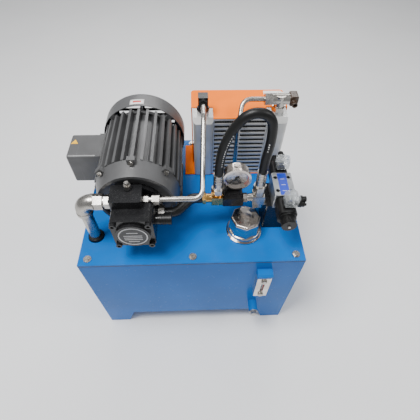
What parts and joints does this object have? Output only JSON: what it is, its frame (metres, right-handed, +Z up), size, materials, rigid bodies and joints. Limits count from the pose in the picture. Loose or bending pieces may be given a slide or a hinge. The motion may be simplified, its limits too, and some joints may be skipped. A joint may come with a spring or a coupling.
{
  "type": "hydraulic reservoir with power unit",
  "caption": "Blue oil reservoir with legs and a bolted lid that carries an electric motor, vane pump, air-blast oil cooler, pressure gauge, filler cap and solenoid valve.",
  "frame": {"origin": "centre of the foot-bolt pattern, on the floor under the legs", "axes": "+Z up, +Y towards the rear, where the cooler and the motor's fan are; +X to the right, where the valve is"},
  "size_m": [0.577, 0.482, 0.7268],
  "materials": {
    "blue_paint": "gloss paint over sheet steel",
    "grey_motor_paint": "satin grey paint over cast aluminium",
    "black_sheet": "satin black paint over sheet steel",
    "black_cast_iron": "black painted casting",
    "orange_paint": "powder coat",
    "aluminium": "mill finish, brazed",
    "zinc_steel": "zinc plated",
    "plain_steel": "plain steel",
    "chrome": "bright chrome",
    "brass": "turned brass",
    "black_rubber": "smooth rubber",
    "black_plastic": "moulded",
    "clear_plastic": "clear moulded",
    "brown_plastic": "smoked moulding",
    "valve_casting": "phosphated casting"
  },
  "bodies": {
    "tank": {"arch_hose": "black_rubber", "brass_tee": "brass", "coil_plugs": "clear_plastic", "cooler_core": "aluminium", "cooler_elbow": "black_sheet", "cooler_fan_motor": "black_sheet", "cooler_headers": "aluminium", "cooler_tee": "zinc_steel", "drain_pipe": "zinc_steel", "drain_plug": "zinc_steel", "fan_cowl": "grey_motor_paint", "fan_guard": "black_sheet", "fan_shroud": "orange_paint", "filler_basket": "zinc_steel", "filler_flange": "chrome", "gauge_block": "black_sheet", "gauge_case": "chrome", "level_gauge_cover": "aluminium", "level_gauge_window": "clear_plastic", "lid_gasket": "black_rubber", "lid_plate": "blue_paint", "line_fittings": "zinc_steel", "motor_bearings": "plain_steel", "motor_bolts": "zinc_steel", "motor_end_bell": "grey_motor_paint", "motor_frame": "grey_motor_paint", "motor_rear_shield": "grey_motor_paint", "motor_stator": "plain_steel", "pipe_grommets": "black_rubber", "pressure_pipe": "black_sheet", "pump_cover": "black_cast_iron", "pump_housing": "black_cast_iron", "pump_screws": "black_cast_iron", "return_pipe": "zinc_steel", "right_tee": "zinc_steel", "suction_fittings": "zinc_steel", "suction_pipe": "zinc_steel", "tank_baffle": "plain_steel", "tank_bolts": "zinc_steel", "tank_shell": "blue_paint", "terminal_box": "grey_motor_paint", "terminal_box_lid": "grey_motor_paint", "thermostat": "brown_plastic", "valve_body": "valve_casting", "valve_coils": "black_plastic", "valve_manifold": "black_cast_iron"},
    "rotor": {"motor_rotor": "plain_steel", "motor_fan": "black_plastic", "pump_rotor": "plain_steel"},
    "cooler_fan": {"cooler_fan": "black_plastic"},
    "gauge_needle": {"gauge_needle": "black_plastic"},
    "cap_seal": {"cap_seal": "black_rubber", "breather_element": "black_plastic"},
    "filler_cap": {"filler_cap": "chrome"},
    "pressure_adjuster": {"pressure_adjuster": "black_plastic"},
    "flow_screw": {"flow_screw": "zinc_steel"},
    "cam_ring": {"cam_ring": "plain_steel"},
    "valve_spool": {"valve_spool": "plain_steel"},
    "front_override_pin": {"front_override_pin": "zinc_steel"},
    "rear_override_pin": {"rear_override_pin": "zinc_steel"}
  },
  "joints": [
    {"name": "rotor_spin", "type": "hinge", "parent": "tank", "child": "rotor", "pos_m": [-0.127, 0, 0.48], "axis": [0, 1, 0], "continuous": true},
    {"name": "cooler_fan_spin", "type": "hinge", "parent": "tank", "child": "cooler_fan", "pos_m": [0.1255, 0.156, 0.479], "axis": [0, 1, 0], "continuous": true},
    {"name": "gauge_needle_swing", "type": "hinge", "parent": "tank", "child": "gauge_needle", "pos_m": [0.1065, -0.075, 0.521], "axis": [0, 1, 0], "range_deg": [0, 270], "stiffness_Nm_per_rad": 0.001},
    {"name": "cap_lift", "type": "slide", "parent": "tank", "child": "cap_seal", "axis": [0, 0, 1], "range_m": [0, 0.008]},
    {"name": "cap_turn", "type": "hinge", "parent": "cap_seal", "child": "filler_cap", "pos_m": [0.131, -0.128, 0.4], "axis": [0, 0, 1], "range_deg": [0, 60]},
    {"name": "pressure_adjust_turn", "type": "hinge", "parent": "tank", "child": "pressure_adjuster", "pos_m": [-0.06, -0.163, 0.484], "axis": [1, 0, 0], "range_deg": [-360, 360]},
    {"name": "flow_adjust_turn", "type": "hinge", "parent": "tank", "child": "flow_screw", "pos_m": [-0.135, -0.126, 0.551], "axis": [0, 0, 1], "range_deg": [-360, 360]},
    {"name": "cam_ring_shift", "type": "slide", "parent": "tank", "child": "cam_ring", "axis": [1, 0, 0], "range_m": [-0.002, 0.002], "stiffness_N_per_m": 20000},
    {"name": "spool_shift", "type": "slide", "parent": "tank", "child": "valve_spool", "axis": [0, 1, 0], "range_m": [-0.003, 0.003], "stiffness_N_per_m": 5000},
    {"name": "front_pin_push", "type": "slide", "parent": "tank", "child": "front_override_pin", "axis": [0, 1, 0], "range_m": [0, 0.003], "stiffness_N_per_m": 500},
    {"name": "rear_pin_push", "type": "slide", "parent": "tank", "child": "rear_override_pin", "axis": [0, -1, 0], "range_m": [0, 0.003], "stiffness_N_per_m": 500}
  ]
}
